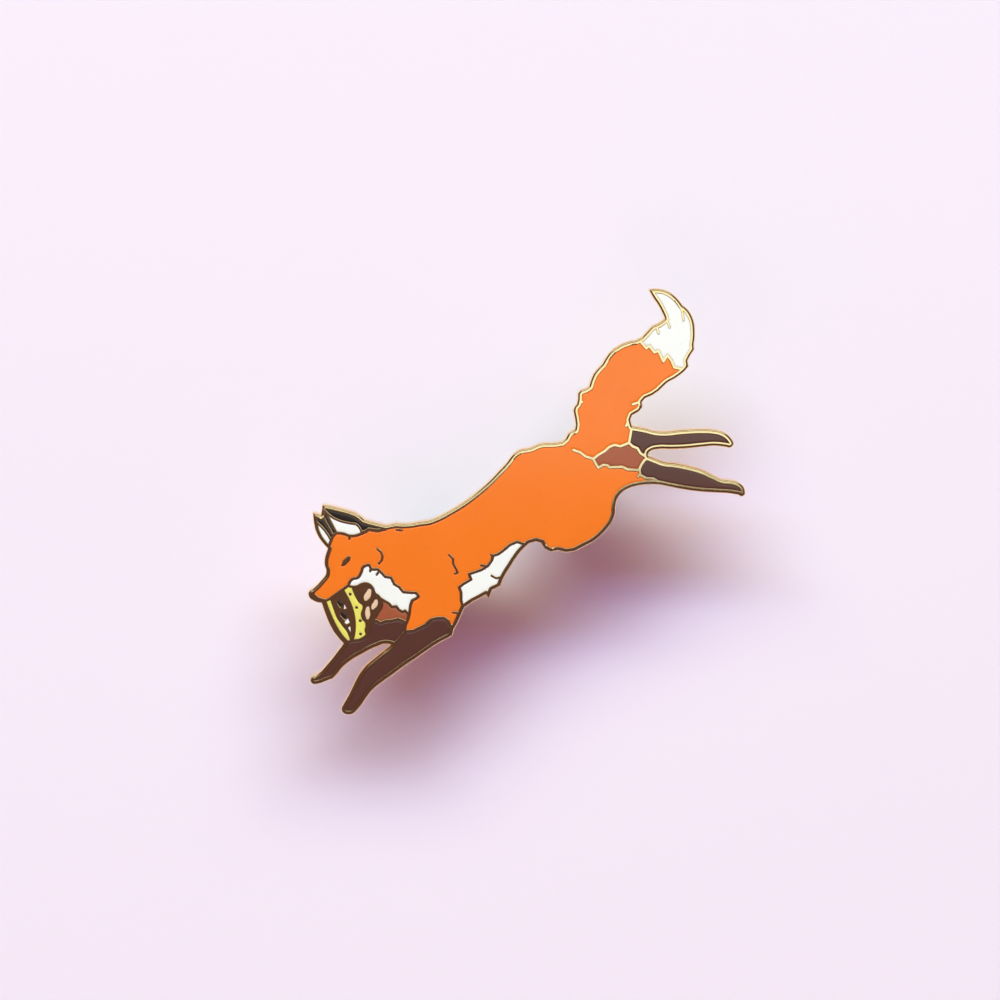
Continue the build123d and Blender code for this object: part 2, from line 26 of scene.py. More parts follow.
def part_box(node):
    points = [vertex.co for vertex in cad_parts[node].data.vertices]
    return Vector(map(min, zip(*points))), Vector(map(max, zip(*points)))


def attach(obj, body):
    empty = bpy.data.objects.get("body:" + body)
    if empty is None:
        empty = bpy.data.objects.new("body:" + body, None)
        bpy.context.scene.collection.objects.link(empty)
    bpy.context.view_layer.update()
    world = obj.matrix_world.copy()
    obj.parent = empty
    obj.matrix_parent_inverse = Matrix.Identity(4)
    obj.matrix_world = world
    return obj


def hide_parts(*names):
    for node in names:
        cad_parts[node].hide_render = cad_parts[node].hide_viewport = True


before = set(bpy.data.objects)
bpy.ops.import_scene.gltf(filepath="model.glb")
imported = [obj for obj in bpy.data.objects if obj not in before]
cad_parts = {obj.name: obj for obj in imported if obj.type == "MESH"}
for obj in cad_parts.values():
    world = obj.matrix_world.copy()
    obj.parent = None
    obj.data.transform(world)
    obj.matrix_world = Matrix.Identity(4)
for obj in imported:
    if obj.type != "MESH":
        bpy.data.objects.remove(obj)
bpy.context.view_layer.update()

LOG = logging.getLogger("brooch")
MM = 0.001
ROOT = "root"
CLUTCHES = ("clutch_front", "clutch_rear")

# Corners of a mesh that are this near each other become one, in millimetres
MERGE_MM = 0.0001

# The shortest and the longest step of a cleaned loop, in millimetres
SHORTEST_STEP = 0.02
LONGEST_STEP = 0.3

# Where a loop turns away from its face by more than this sine, a row gets three points
SHARP_TURN_SINE = 0.3

# A mitre is divided by one plus the cosine of its turn, and by no less than this
MITRE_FLOOR = 0.5
ROW_MITRE_FLOOR = 0.6

# Moved points that end nearer the edge than this share of their way are dropped
ROW_CLEARANCE = 0.94
GROWTH_CLEARANCE = 0.97

# The range that most of a noise lies in
NOISE_RANGE = (0.3, 0.7)

# A place to the near left, 2.4 m off and 45 degrees up, in metres
NEAR_LEFT = (-0.849, -1.47, 1.697)


class EnamelColour(Enum):
    """The enamel colours, as sRGB hex values of their matt body under the gloss."""

    ORANGE = "#FB7D24"
    WHITE = "#FBFAF8"
    DARK_BROWN = "#5A3730"
    RUST = "#A95A3C"
    BLACK = "#2A211E"
    YELLOW = "#EFE66A"
    PEACH = "#EFCDAE"

    @property
    def slot(self) -> str:
        """Gives the name of the material slot for this colour."""
        return "enamel_" + self.name.lower()


def linear(code: str) -> tuple[float, float, float, float]:
    """Turns an sRGB hex value into a linear colour.

    Args:
        code: The colour as "#RRGGBB".

    Returns:
        Red, green, blue and an alpha of one.
    """
    parts = [int(code[at:at + 2], 16) / 255 for at in (1, 3, 5)]
    return (*(c / 12.92 if c <= 0.04045 else ((c + 0.055) / 1.055) ** 2.4 for c in parts), 1.0)


def add_node(
    tree: bpy.types.NodeTree,
    kind: str,
    settings: dict[str, Any] | None = None,
    inputs: dict[str | int, Any] | None = None,
) -> bpy.types.Node:
    """Adds a node with its settings, and sets or links its inputs.

    Args:
        tree: The tree that the node goes into.
        kind: The node's type, such as "ShaderNodeBump".
        settings: The node's own options by name.
        inputs: A value, or the socket to link from, for each input by name or number.

    Returns:
        The new node.
    """
    node = tree.nodes.new(kind)
    for name, value in (settings or {}).items():
        setattr(node, name, value)
    for key, value in (inputs or {}).items():
        if isinstance(value, bpy.types.NodeSocket):
            tree.links.new(value, node.inputs[key])
        else:
            node.inputs[key].default_value = value
    return node


def new_material(name: str) -> tuple[bpy.types.Material, bpy.types.NodeTree, bpy.types.NodeSocket]:
    """Starts a material with an empty tree.

    Args:
        name: The material's name.

    Returns:
        The material, its tree, and the Object coordinates that its patterns read.
    """
    material = bpy.data.materials.new(name)
    material.use_nodes = True
    tree = material.node_tree
    tree.nodes.clear()
    return material, tree, add_node(tree, "ShaderNodeTexCoord").outputs["Object"]


def noise(
    tree: bpy.types.NodeTree,
    coords: bpy.types.NodeSocket,
    grain_mm: float,
    detail: float = 2.0,
    stretch: tuple[float, float, float] = (1.0, 1.0, 1.0),
) -> bpy.types.NodeSocket:
    """Adds a noise whose grain has a real size.

    Args:
        tree: The tree that the noise goes into.
        coords: The coordinates, in metres.
        grain_mm: The size of one grain.
        detail: How many finer layers lie over it.
        stretch: The scale along each axis, where a streak along an axis has a low number.

    Returns:
        The noise as a factor from 0 to 1.
    """
    placed = add_node(tree, "ShaderNodeMapping", inputs={"Vector": coords, "Scale": stretch})
    texture = add_node(
        tree, "ShaderNodeTexNoise",
        inputs={"Vector": placed.outputs[0], "Scale": 1 / (grain_mm * MM), "Detail": detail},
    )
    return texture.outputs[0]


def spread(
    tree: bpy.types.NodeTree, factor: bpy.types.NodeSocket, low: float, high: float
) -> bpy.types.NodeSocket:
    """Spreads the middle of a noise over a range.

    Args:
        tree: The tree that the node goes into.
        factor: The noise, from 0 to 1.
        low: The value where the noise is low.
        high: The value where the noise is high.

    Returns:
        The value.
    """
    least, most = NOISE_RANGE
    inputs = {"Value": factor, "From Min": least, "From Max": most, "To Min": low, "To Max": high}
    return add_node(tree, "ShaderNodeMapRange", inputs=inputs).outputs[0]


def bump(
    tree: bpy.types.NodeTree,
    height: bpy.types.NodeSocket,
    height_mm: float,
    under: bpy.types.NodeSocket | None = None,
) -> bpy.types.NodeSocket:
    """Adds relief of a real height.

    Args:
        tree: The tree that the bump goes into.
        height: The relief as a factor from 0 to 1.
        height_mm: The height at a factor of 1.
        under: The normal that the relief lies on, where there is one.

    Returns:
        The normal.
    """
    inputs: dict[str | int, Any] = {"Height": height, "Strength": 1.0, "Distance": height_mm * MM}
    if under is not None:
        inputs["Normal"] = under
    return add_node(tree, "ShaderNodeBump", inputs=inputs).outputs[0]


def tinted(
    tree: bpy.types.NodeTree, factor: bpy.types.NodeSocket, first: str, second: str
) -> bpy.types.NodeSocket:
    """Mixes two colours by a factor.

    Args:
        tree: The tree that the mix goes into.
        factor: How much of the second colour shows.
        first: The first colour as sRGB hex.
        second: The second colour as sRGB hex.

    Returns:
        The mixed colour.
    """
    mix = add_node(
        tree, "ShaderNodeMix", {"data_type": "RGBA"},
        {"Factor": factor, 6: linear(first), 7: linear(second)},
    )
    return mix.outputs[2]


def finish_surface(
    material: bpy.types.Material, tree: bpy.types.NodeTree, inputs: dict[str | int, Any]
) -> bpy.types.Material:
    """Adds the shader and the output that close a material.

    Args:
        material: The material.
        tree: Its tree.
        inputs: The Principled shader's inputs.

    Returns:
        The material.
    """
    shader = add_node(tree, "ShaderNodeBsdfPrincipled", inputs=inputs)
    add_node(tree, "ShaderNodeOutputMaterial", inputs={"Surface": shader.outputs[0]})
    return material


@dataclass(frozen=True)
class PolishedPlating:
    """Gold plating over a struck and polished zinc alloy, as on the face and the rim."""

    name: str = "gold_plating_polished"
    colour: str = "#FFE3B2"
    worn_colour: str = "#FADDA8"
    roughness: tuple[float, float] = (0.055, 0.09)
    ripple_mm: float = 1.1
    ripple_height_mm: float = 0.002
    scratch_mm: float = 0.14
    scratch_stretch: tuple[float, float, float] = (1.0, 0.12, 1.0)
    scratch_height_mm: float = 0.0005
    wear_mm: float = 5.0

    def material(self) -> bpy.types.Material:
        """Builds the material.

        Returns:
            The material. The ripple is what the polishing wheel leaves: it breaks reflections in
            the narrow lines into longer and shorter glints. Hairlines are finer than they can show
            here, so they are drawn 0.14 mm wide.
        """
        material, tree, coords = new_material(self.name)
        ripple = noise(tree, coords, self.ripple_mm, 1.0)
        scratches = noise(tree, coords, self.scratch_mm, 2.0, self.scratch_stretch)
        wear = noise(tree, coords, self.wear_mm, 3.0)
        normal = bump(tree, ripple, self.ripple_height_mm)
        normal = bump(tree, scratches, self.scratch_height_mm, normal)
        return finish_surface(material, tree, {
            "Base Color": tinted(tree, spread(tree, wear, 0.0, 1.0), self.colour, self.worn_colour),
            "Metallic": 1.0,
            "Roughness": spread(tree, scratches, *self.roughness),
            "Normal": normal,
        })


@dataclass(frozen=True)
class GrainedPlating:
    """Gold plating over the fine sand grain of the die, as on the unpolished back."""

    name: str = "gold_plating_grained"
    colour: str = "#EBD3A0"
    low_colour: str = "#D8B97C"
    roughness: tuple[float, float] = (0.26, 0.42)
    grain_mm: float = 0.22
    grain_height_mm: float = 0.02
    cloud_mm: float = 6.0

    def material(self) -> bpy.types.Material:
        """Builds the material.

        Returns:
            The material. The grain scatters light, so the back looks satin beside the rim. Real
            grain is about 0.1 mm, and is drawn twice as coarse to show.
        """
        material, tree, coords = new_material(self.name)
        grain = add_node(
            tree, "ShaderNodeTexVoronoi", {"feature": "SMOOTH_F1"},
            {"Vector": coords, "Scale": 1 / (self.grain_mm * MM), "Randomness": 1.0},
        ).outputs["Distance"]
        cloud = noise(tree, coords, self.cloud_mm, 3.0)
        return finish_surface(material, tree, {
            "Base Color": tinted(tree, spread(tree, cloud, 0.0, 1.0), self.colour, self.low_colour),
            "Metallic": 1.0,
            "Roughness": spread(tree, grain, *self.roughness),
            "Normal": bump(tree, grain, self.grain_height_mm),
        })


@dataclass(frozen=True)
class HardEnamel:
    """Hard enamel: coloured resin baked in the cell, ground flush and polished."""

    colour: EnamelColour
    roughness: tuple[float, float] = (0.1, 0.16)
    haze_mm: float = 1.5
    cloud_mm: float = 4.0
    cloud_tones: tuple[float, float] = (0.985, 1.015)
    ripple_mm: float = 2.5
    ripple_height_mm: float = 0.003
    speck_mm: float = 0.5
    speck_edge: tuple[float, float] = (0.22, 0.3)
    speck_tone: float = 0.975
    ior: float = 1.52

    def material(self) -> bpy.types.Material:
        """Builds the material.

        Returns:
            The material. Pigment lies a little unevenly in the fill, so its tone drifts over a
            few millimetres and has sparse fine specks. The polish leaves a very low ripple, and a
            clear gloss lies over the matt body.
        """
        material, tree, coords = new_material(f"hard_enamel_{self.colour.name.lower()}")
        cloud = spread(tree, noise(tree, coords, self.cloud_mm, 3.0), *self.cloud_tones)
        low, high = self.speck_edge
        specks = add_node(
            tree, "ShaderNodeMapRange",
            inputs={"Value": noise(tree, coords, self.speck_mm, 0.0), "From Min": low,
                    "From Max": high, "To Min": self.speck_tone, "To Max": 1.0},
        ).outputs[0]
        tone = add_node(tree, "ShaderNodeMath", {"operation": "MULTIPLY"}, {0: cloud, 1: specks})
        body = add_node(
            tree, "ShaderNodeHueSaturation",
            inputs={"Color": linear(self.colour.value), "Value": tone.outputs[0]},
        )
        ripple = noise(tree, coords, self.ripple_mm, 1.0)
        return finish_surface(material, tree, {
            "Base Color": body.outputs[0],
            "Roughness": spread(tree, noise(tree, coords, self.haze_mm, 2.0), *self.roughness),
            "IOR": self.ior,
            "Normal": bump(tree, ripple, self.ripple_height_mm),
        })


@dataclass(frozen=True)
class MouldedRubber:
    """Black natural rubber from a matt mould, as in pin clutches."""

    name: str = "rubber_moulded_black"
    colour: str = "#1B1A1A"
    dusty_colour: str = "#2A2928"
    roughness: tuple[float, float] = (0.52, 0.68)
    stipple_mm: float = 0.18
    stipple_height_mm: float = 0.01
    bloom_mm: float = 3.0
    sheen: float = 0.08
    sheen_roughness: float = 0.4
    ior: float = 1.5

    def material(self) -> bpy.types.Material:
        """Builds the material.

        Returns:
            The material. The mould's spark-worn skin gives a fine stipple, and handling leaves a
            faint greyish bloom on it.
        """
        material, tree, coords = new_material(self.name)
        stipple = noise(tree, coords, self.stipple_mm, 2.0)
        bloom = noise(tree, coords, self.bloom_mm, 3.0)
        colour = tinted(tree, spread(tree, bloom, 0.0, 1.0), self.colour, self.dusty_colour)
        return finish_surface(material, tree, {
            "Base Color": colour,
            "Roughness": spread(tree, bloom, *self.roughness),
            "Sheen Weight": self.sheen,
            "Sheen Roughness": self.sheen_roughness,
            "IOR": self.ior,
            "Normal": bump(tree, stipple, self.stipple_height_mm),
        })


@dataclass(frozen=True)
class PaleBacking:
    """The plain pale lavender backing that the brooch lies on."""

    name: str = "backing_pale_lavender"
    colour: str = "#F8EAFA"
    roughness: float = 0.95
    specular: float = 0.1

    def material(self) -> bpy.types.Material:
        """Builds the material.

        Returns:
            The material, which is matt and has nothing on it.
        """
        material, tree, _ = new_material(self.name)
        return finish_surface(material, tree, {
            "Base Color": linear(self.colour),
            "Roughness": self.roughness,
            "Specular IOR Level": self.specular,
        })


@dataclass(frozen=True)
class RolledEdge:
    """How a flat face rolls over where it ends, in millimetres.

    Attributes:
        reach: How far in from the edge the roll starts.
        drop: How far the face has fallen at the edge.
        rows: Where rows of points follow the edge, as shares of the reach.
        hollow: Whether the face dips to its edge as a filled cell does, and not as a round does.
    """

    reach: float
    drop: float
    rows: tuple[float, ...] = (0.1, 0.3, 0.6, 1.0)
    hollow: bool = False

    def fall(self, distance: np.ndarray) -> np.ndarray:
        """Gives how far the face has fallen.

        Args:
            distance: The distances from its edge.

        Returns:
            The fall at each.
        """
        run = np.clip(1 - distance / self.reach, 0, 1)
        return self.drop * (run ** 2 if self.hollow else 1 - np.sqrt(1 - run ** 2))


@dataclass
class Loop:
    """One closed edge of a flat face, with the face on its left, in millimetres.

    Attributes:
        points: The corners in order.
        edge: How the face rolls over here.
    """

    points: np.ndarray
    edge: RolledEdge

    @property
    def area(self) -> float:
        """Gives the signed area, which is above zero where the loop runs round a face."""
        x, y = self.points.T
        return float(np.dot(x, np.roll(y, -1)) - np.dot(y, np.roll(x, -1))) / 2

    def cleaned(self) -> "Loop":
        """Gives the loop without its shortest steps, and with its longest ones divided.

        Returns:
            The new loop.
        """
        kept = [self.points[0]]
        for point in self.points[1:]:
            if np.linalg.norm(point - kept[-1]) >= SHORTEST_STEP:
                kept.append(point)
        if np.linalg.norm(kept[-1] - kept[0]) < SHORTEST_STEP:
            kept.pop()
        divided = []
        for start, end in zip(kept, kept[1:] + kept[:1]):
            steps = max(1, ceil(np.linalg.norm(end - start) / LONGEST_STEP))
            divided += [start + (end - start) * at / steps for at in range(steps)]
        return Loop(np.array(divided), self.edge)

    def inward(self) -> tuple[np.ndarray, np.ndarray]:
        """Gives the directions into the face before and after each corner, of length one."""
        ahead = np.roll(self.points, -1, axis=0) - self.points
        ahead /= np.linalg.norm(ahead, axis=1)[:, None]
        left = np.stack([-ahead[:, 1], ahead[:, 0]], axis=1)
        return np.roll(left, 1, axis=0), left

    def widened(self, amount: float) -> "Loop":
        """Gives the loop moved out of the face.

        Args:
            amount: How far it moves, in millimetres.

        Returns:
            The new loop.
        """
        before, after = self.inward()
        way = before + after
        way /= np.maximum(np.sum(way * after, axis=1), MITRE_FLOOR)[:, None]
        return Loop(self.points - way * amount, self.edge)

    def grown(self, amount: float, step: float = 0.35) -> "Loop":
        """Gives the loop moved out of the face, with round corners and its folds cut off.

        Args:
            amount: How far it moves, in millimetres.
            step: The most that one step of a round corner turns, in radians.

        Returns:
            The new loop. Its folds are looked for twice, because one that lies across the loop's
            start isn't seen until the start has moved.
        """
        before, after = self.inward()
        found = []
        for point, first, last in zip(self.points, before, after):
            turn = atan2(first[0] * last[1] - first[1] * last[0], float(first @ last))
            if turn > step:
                steps = ceil(turn / step)
                ways = [first + (last - first) * at / steps for at in range(steps + 1)]
                found += [point - way * amount / np.linalg.norm(way) for way in ways]
            else:
                way = first + last
                found.append(point - way * amount / max(float(way @ last), MITRE_FLOOR))
        points = np.array(found)
        points = points[Fence([self]).distances(points) > GROWTH_CLEARANCE * amount]
        return Loop(points, self.edge).unfolded().unfolded()

    def unfolded(self, reach: int = 40) -> "Loop":
        """Gives the loop cut short where it crosses itself, and started half way round.

        Args:
            reach: The most corners that a fold has.

        Returns:
            The new loop.
        """
        kept = list(self.points)
        at = 0
        while at < len(kept) - 3:
            for end in range(min(at + reach, len(kept) - 2), at + 1, -1):
                met = intersect_line_line_2d(*kept[at:at + 2], *kept[end:end + 2])
                if met is not None:
                    kept[at + 1:end + 1] = [np.array(met)]
                    break
            at += 1
        return Loop(np.roll(np.array(kept), len(kept) // 2, axis=0), self.edge)

    def row(self, inset: float) -> np.ndarray:
        """Gives points that follow the loop inside the face.

        Args:
            inset: Their distance from the loop, in millimetres.

        Returns:
            The points.
        """
        before, after = self.inward()
        found = []
        for point, first, last in zip(self.points, before, after):
            turn = float(first[0] * last[1] - first[1] * last[0])
            way = first + last
            if turn < -SHARP_TURN_SINE:
                found += [point + first * inset, point + last * inset]
            found.append(point + way * inset / max(float(way @ last), ROW_MITRE_FLOOR))
        return np.array(found)


class Fence:
    """The loops of a face as a wall, to measure how far a point is from them."""

    def __init__(self, loops: list[Loop]) -> None:
        """Stands the wall up.

        Args:
            loops: The loops, of which there may be none.
        """
        corners: list[tuple[float, float, float]] = []
        panels: list[tuple[int, int, int, int]] = []
        for loop in loops:
            first, count = len(corners), len(loop.points)
            for x, y in loop.points:
                corners += [(x, y, -1.0), (x, y, 1.0)]
            for at in range(count):
                a, b = first + 2 * at, first + 2 * ((at + 1) % count)
                panels.append((a, b, b + 1, a + 1))
        self.tree = BVHTree.FromPolygons(corners, panels) if panels else None

    def distances(self, points: np.ndarray) -> np.ndarray:
        """Measures how far points are from the nearest loop.

        Args:
            points: The points, in millimetres.

        Returns:
            The distance of each, in millimetres.
        """
        if self.tree is None:
            return np.full(len(points), np.inf)
        return np.array([self.tree.find_nearest((x, y, 0.0))[3] for x, y in points])


class FlatFace:
    """A flat face between loops, divided into triangles with rows of points along its edges.

    Attributes:
        points: The corners, in millimetres.
        fall: How far each corner has fallen below the face.
        inside: The triangles of the face.
        openings: The triangles of its openings.
        rims: The corners along each loop, in order.
    """

    def __init__(self, loops: list[Loop], close_mm: float = 0.004) -> None:
        """Divides the face.

        Args:
            loops: The face's loops, each with the face on its left.
            close_mm: Points this near each other become one.
        """
        kinds = sorted({loop.edge for loop in loops}, key=lambda edge: edge.reach)
        fences = {kind: Fence([loop for loop in loops if loop.edge == kind]) for kind in kinds}
        points = np.concatenate([loop.points for loop in loops])
        rings, first = [], 0
        for loop in loops:
            ring = list(range(first, first + len(loop.points)))
            rings.append(ring)
            first += len(ring)
        rows = []
        for loop in loops:
            for share in loop.edge.rows:
                inset = share * loop.edge.reach
                row = loop.row(inset)
                rows.append(row[fences[loop.edge].distances(row) > ROW_CLEARANCE * inset])
        every = np.concatenate([points, *rows])
        edges = [pair for ring in rings for pair in zip(ring, ring[1:] + ring[:1])]
        faces = [ring if loop.area > 0 else ring[::-1] for ring, loop in zip(rings, loops)]
        corners, _, triangles, sources, _, owners = delaunay_2d_cdt(
            [Vector(point) for point in every], edges, faces, 0, close_mm, True
        )
        self.points = np.array(corners)
        self.fall = np.max(
            [kind.fall(fence.distances(self.points)) for kind, fence in fences.items()], axis=0
        )
        owned = [(tuple(face), len(of)) for face, of in zip(triangles, owners)]
        self.inside = [face for face, depth in owned if depth % 2 == 1]
        self.openings = [face for face, depth in owned if depth and depth % 2 == 0]
        place = {source: at for at, found in enumerate(sources) for source in found}
        self.rims = [[place[at] for at in ring] for ring in rings]


@dataclass
class Shell:
    """A mesh in the making, gathered in millimetres.

    Attributes:
        corners: The corners so far.
        faces: The faces so far, each with the number of its finish.
    """

    corners: list[np.ndarray] = field(default_factory=list)
    faces: list[tuple[tuple[int, ...], int]] = field(default_factory=list)

    def add(self, corners: np.ndarray, faces: list[tuple[int, ...]], finish: int = 0) -> None:
        """Adds faces with corners of their own.

        Args:
            corners: The corners, in millimetres.
            faces: The faces, by number in those corners.
            finish: The number of the finish that the faces get.
        """
        first = sum(len(part) for part in self.corners)
        self.corners.append(corners)
        self.faces += [(tuple(first + at for at in face), finish) for face in faces]

    def add_sheet(
        self, points: np.ndarray, heights: np.ndarray, faces: list[tuple[int, ...]],
        up: bool = True, finish: int = 0,
    ) -> None:
        """Adds a sheet of faces with its corners at different heights.

        Args:
            points: The corners in plan, in millimetres.
            heights: The height of each.
            faces: The faces, by number in those corners, as seen from above.
            up: Whether they face up, and not down.
            finish: The number of the finish that the sheet gets.
        """
        corners = np.column_stack([points, heights])
        self.add(corners, faces if up else [face[::-1] for face in faces], finish)

    def add_wall(
        self, points: np.ndarray, top: np.ndarray, bottom: np.ndarray, finish: int = 0
    ) -> None:
        """Adds the wall under a loop that has the face on its left.

        Args:
            points: The loop's corners.
            top: The height of the wall's top at each.
            bottom: The height of its foot at each.
            finish: The number of the finish that the wall gets.
        """
        count = len(points)
        corners = np.concatenate([
            np.column_stack([points, top]), np.column_stack([points, bottom])
        ])
        steps = [(at, (at + 1) % count) for at in range(count)]
        self.add(corners, [(a + count, a, b, b + count) for a, b in steps], finish)

    def add_turned(
        self, centre: Vector, profile: list[tuple[float, float]], sides: int, finish: int = 0
    ) -> None:
        """Adds a turned shape on an upright axis, closed where its profile starts or ends on it.

        Args:
            centre: The axis in plan, in millimetres.
            profile: The radius and the height along the profile, with the outside on its right
                as it runs.
            sides: How many sides the turning has.
            finish: The number of the finish that it gets.
        """
        angles = [tau * at / sides for at in range(sides)]
        corners, rows = [], []
        for radius, height in profile:
            first = len(corners)
            if radius < MERGE_MM:
                corners.append((centre.x, centre.y, height))
                rows.append([first] * sides)
                continue
            corners += [
                (centre.x + radius * cos(a), centre.y + radius * sin(a), height) for a in angles
            ]
            rows.append([first + at for at in range(sides)])
        faces = []
        for low, high in zip(rows, rows[1:]):
            for at in range(sides):
                nxt = (at + 1) % sides
                face = (low[at], low[nxt], high[nxt], high[at])
                faces.append(tuple(dict.fromkeys(face)))
        self.add(np.array(corners), faces, finish)

    def to_object(
        self, name: str, materials: list[bpy.types.Material], crease_deg: float = 42.0
    ) -> bpy.types.Object:
        """Makes the object, merged and with its sharp edges marked.

        Args:
            name: The object's name.
            materials: The finishes by number.
            crease_deg: Edges that turn more than this stay sharp.

        Returns:
            The object, at the origin, in metres.
        """
        mesh = bpy.data.meshes.new(name)
        corners = np.concatenate(self.corners) * MM
        mesh.from_pydata(corners.tolist(), [], [face for face, _ in self.faces])
        for material in materials:
            mesh.materials.append(material)
        mesh.polygons.foreach_set("material_index", [finish for _, finish in self.faces])
        work = bmesh.new()
        work.from_mesh(mesh)
        bmesh.ops.remove_doubles(work, verts=work.verts, dist=MERGE_MM * MM)
        bmesh.ops.dissolve_degenerate(work, edges=work.edges, dist=MERGE_MM * MM)
        for face in work.faces:
            face.smooth = True
        for edge in work.edges:
            edge.smooth = edge.is_manifold and edge.calc_face_angle(0.0) < radians(crease_deg)
        LOG.info("%s: %d faces, %d open edges", name, len(work.faces),
                 sum(not edge.is_manifold for edge in work.edges))
        work.to_mesh(mesh)
        work.free()
        thing = bpy.data.objects.new(name, mesh)
        bpy.context.scene.collection.objects.link(thing)
        return thing


def face_loops(node: str, edge: RolledEdge) -> list[Loop]:
    """Reads the loops round the highest flat faces of a CAD node.

    Args:
        node: The node's name.
        edge: How the face is to roll over at them.

    Returns:
        The loops in millimetres, each with the face on its left, the largest first.
    """
    work = bmesh.new()
    work.from_mesh(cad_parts[node].data)
    bmesh.ops.remove_doubles(work, verts=work.verts, dist=MERGE_MM * MM)
    top = max(vert.co.z for vert in work.verts)
    # The list keeps the mesh's order, so that each loop starts at the same corner in every run
    flat = [f for f in work.faces if min(vert.co.z for vert in f.verts) > top - MERGE_MM * MM]
    among = set(flat)
    onward = {
        corner.vert: corner.link_loop_next.vert
        for face in flat for corner in face.loops
        if not any(other in among for other in corner.edge.link_faces if other != face)
    }
    loops = []
    while onward:
        start = at = next(iter(onward))
        points = []
        while at in onward:
            points.append(at.co.xy / MM)
            at = onward.pop(at)
        assert at == start, f"a loop of {node} is open"
        loops.append(Loop(np.array(points), edge))
    work.free()
    return sorted(loops, key=lambda loop: -abs(loop.area))


def middle_of(node: str) -> Vector:
    """Gives the middle of a CAD node's box.

    Args:
        node: The node's name.

    Returns:
        The middle, in millimetres.
    """
    low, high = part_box(node)
    return (low + high) / 2 / MM


def hand_over(piece: bpy.types.Object, slot: str, *nodes: str) -> None:
    """Puts a finished piece on the frame in the place of CAD nodes.

    Args:
        piece: The finished piece.
        slot: The name of a material slot; not used.
        nodes: The nodes that it stands for.
    """
    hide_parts(*nodes)
    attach(piece, ROOT)
    LOG.info("%s stands for %s", piece.name, ", ".join(nodes))


@dataclass
class StruckPlate:
    """The struck and plated metal: plate, rim, raised lines, marks, posts and solder.

    Lengths are in millimetres.
    """

    node: str = "metal_body"
    clutches: tuple[str, ...] = CLUTCHES
    thickness: float = 1.5
    cell_depth: float = 0.55
    shoulder_width: float = 0.11
    rim_edge: RolledEdge = RolledEdge(
        0.27, 0.3, rows=(0.04, 0.12, 0.25, 0.4, 0.6, 0.8, 1.0, 1.12)
    )
    line_edge: RolledEdge = RolledEdge(0.02, 0.006, rows=(1.0, 1.8), hollow=True)
    back_edge: RolledEdge = RolledEdge(0.12, 0.12)
    solder_edge: RolledEdge = RolledEdge(0.3, 0.0, rows=(1.0,))
    solder_sides: int = 72
    solder_profile: tuple[tuple[float, float], ...] = (
        (1.5, 0.0), (1.42, 0.045), (1.25, 0.085), (1.05, 0.135), (0.87, 0.22), (0.73, 0.35),
        (0.63, 0.52), (0.58, 0.72),
    )
    post_radius: float = 0.58
    neck_radius: float = 0.44
    neck_heights: tuple[float, float, float] = (2.5, 2.8, 3.1)
    tip_profile: tuple[tuple[float, float], ...] = (
        (0.54, 2.33), (0.45, 2.05), (0.34, 1.75), (0.23, 1.45), (0.15, 1.28), (0.08, 1.21),
        (0.0, 1.2),
    )

    def build(self) -> bpy.types.Object:
        """Builds the plate and puts it on the frame.

        Returns:
            The plate.
        """
        _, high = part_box(self.node)
        front = high.z / MM
        back = front - self.thickness
        loops = face_loops(self.node, self.line_edge)
        loops[0] = loops[0].cleaned().grown(self.shoulder_width)
        loops[0].edge = self.rim_edge
        loops = [loop.cleaned() for loop in loops]
        shell = Shell()
        self.add_front(shell, loops, front)
        self.add_back(shell, loops[0], front, back)
        for clutch in self.clutches:
            shell.add_turned(middle_of(clutch), self.post_profile(back), self.solder_sides)
        plate = shell.to_object(
            "plated_fox_plate", [PolishedPlating().material(), GrainedPlating().material()]
        )
        hand_over(plate, "gold_plate", self.node)
        return plate

    def add_front(self, shell: Shell, loops: list[Loop], front: float) -> None:
        """Adds the polished face, the walls of the cells and their floors.

        Args:
            shell: The mesh in the making.
            loops: The loops of the face, the outline first.
            front: The height of the face.
        """
        face = FlatFace(loops)
        floor = front - self.cell_depth
        shell.add_sheet(face.points, front - face.fall, face.inside)
        shell.add_sheet(face.points, np.full(len(face.points), floor), face.openings, finish=1)
        for rim in face.rims[1:]:
            top = front - face.fall[rim]
            shell.add_wall(face.points[rim], top, np.full(len(rim), floor))

    def add_back(self, shell: Shell, outline: Loop, front: float, back: float) -> None:
        """Adds the grained back, with the places of the posts left open, and the outer wall.

        Args:
            shell: The mesh in the making.
            outline: The plate's outline.
            front: The height of the face.
            back: The height of the back.
        """
        radius = self.solder_profile[0][0]
        rounds = []
        for clutch in self.clutches:
            centre = middle_of(clutch)
            angles = [-tau * at / self.solder_sides for at in range(self.solder_sides)]
            ring = [(centre.x + radius * cos(a), centre.y + radius * sin(a)) for a in angles]
            rounds.append(Loop(np.array(ring), self.solder_edge))
        outer = Loop(outline.points, self.back_edge)
        face = FlatFace([outer, *rounds])
        shell.add_sheet(face.points, back + face.fall, face.inside, up=False, finish=1)
        rim = face.rims[0]
        top = np.full(len(rim), front - self.rim_edge.drop)
        shell.add_wall(face.points[rim], top, back + face.fall[rim])

    def post_profile(self, back: float) -> list[tuple[float, float]]:
        """Gives the profile of a post with its solder.

        Args:
            back: The height of the plate's back.

        Returns:
            The radius and the height along it, from the tip up to the back.
        """
        low, middle, high = self.neck_heights
        ridge = [
            (self.post_radius, high), (self.neck_radius, middle), (self.post_radius, low)
        ]
        down = [(radius, back - depth) for radius, depth in self.solder_profile]
        return (down + ridge + list(self.tip_profile))[::-1]


